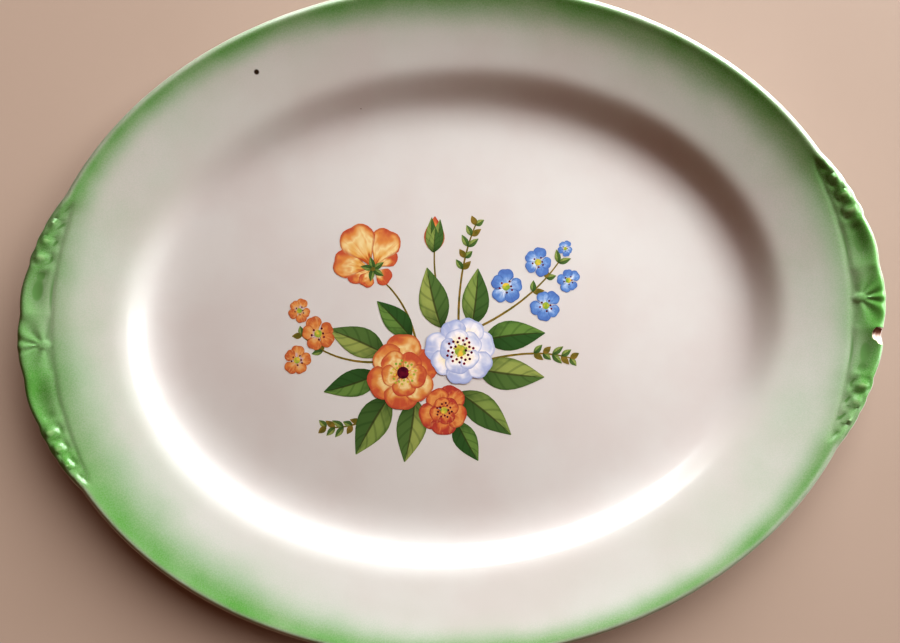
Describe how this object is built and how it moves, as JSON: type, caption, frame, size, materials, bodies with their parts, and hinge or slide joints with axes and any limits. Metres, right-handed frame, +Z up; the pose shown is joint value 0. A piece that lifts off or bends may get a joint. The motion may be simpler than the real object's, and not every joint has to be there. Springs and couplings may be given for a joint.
{
  "type": "oval serving platter",
  "caption": "Oval glazed earthenware serving platter with a flat well, sloping verge, sprayed green rim, scalloped handle tabs, oval foot ring and a printed flower spray.",
  "frame": {"origin": "centre of the oval in the plane of the foot ring's contact band", "axes": "+X along the long axis through the handle tabs, towards the chipped one; +Y along the short axis; +Z up out of the well"},
  "size_m": [0.3428, 0.2668, 0.0288],
  "materials": {
    "biscuit_clay": "fired earthenware biscuit, matt, bare on the foot ring and in the chip",
    "cream_glaze": "glossy cream lead-type glaze over the whole platter",
    "green_rim_colour": "sprayed green colour under a glossy surface, fading inwards",
    "ivory_print": "white and lilac transfer enamel",
    "apricot_print": "apricot and yellow transfer enamel",
    "coral_print": "coral red transfer enamel",
    "blue_print": "blue transfer enamel",
    "orange_print": "orange transfer enamel",
    "leaf_print": "leaf green transfer enamel",
    "twig_print": "olive brown transfer enamel"
  },
  "bodies": {
    "root": {"clay_body": "biscuit_clay", "foot_recess_glaze": "cream_glaze", "glaze_coat": "cream_glaze", "green_rim_band": "green_rim_colour", "print_apricot_bloom": "apricot_print", "print_blue_flower_1": "blue_print", "print_blue_flower_2": "blue_print", "print_blue_flower_3": "blue_print", "print_blue_flower_4": "blue_print", "print_blue_flower_5": "blue_print", "print_blue_twig": "twig_print", "print_bud": "apricot_print", "print_bud_stalk": "twig_print", "print_coral_bloom": "coral_print", "print_ivory_bloom": "ivory_print", "print_leaf_1": "leaf_print", "print_leaf_10": "leaf_print", "print_leaf_11": "leaf_print", "print_leaf_2": "leaf_print", "print_leaf_3": "leaf_print", "print_leaf_4": "leaf_print", "print_leaf_5": "leaf_print", "print_leaf_6": "leaf_print", "print_leaf_7": "leaf_print", "print_leaf_8": "leaf_print", "print_leaf_9": "leaf_print", "print_lower_twig": "twig_print", "print_orange_flower_1": "orange_print", "print_orange_flower_2": "orange_print", "print_orange_flower_3": "orange_print", "print_orange_twig": "twig_print", "print_poppy_bloom": "apricot_print", "print_poppy_stalk": "twig_print", "print_right_twig": "twig_print", "print_top_twig": "twig_print"}
  },
  "joints": []
}
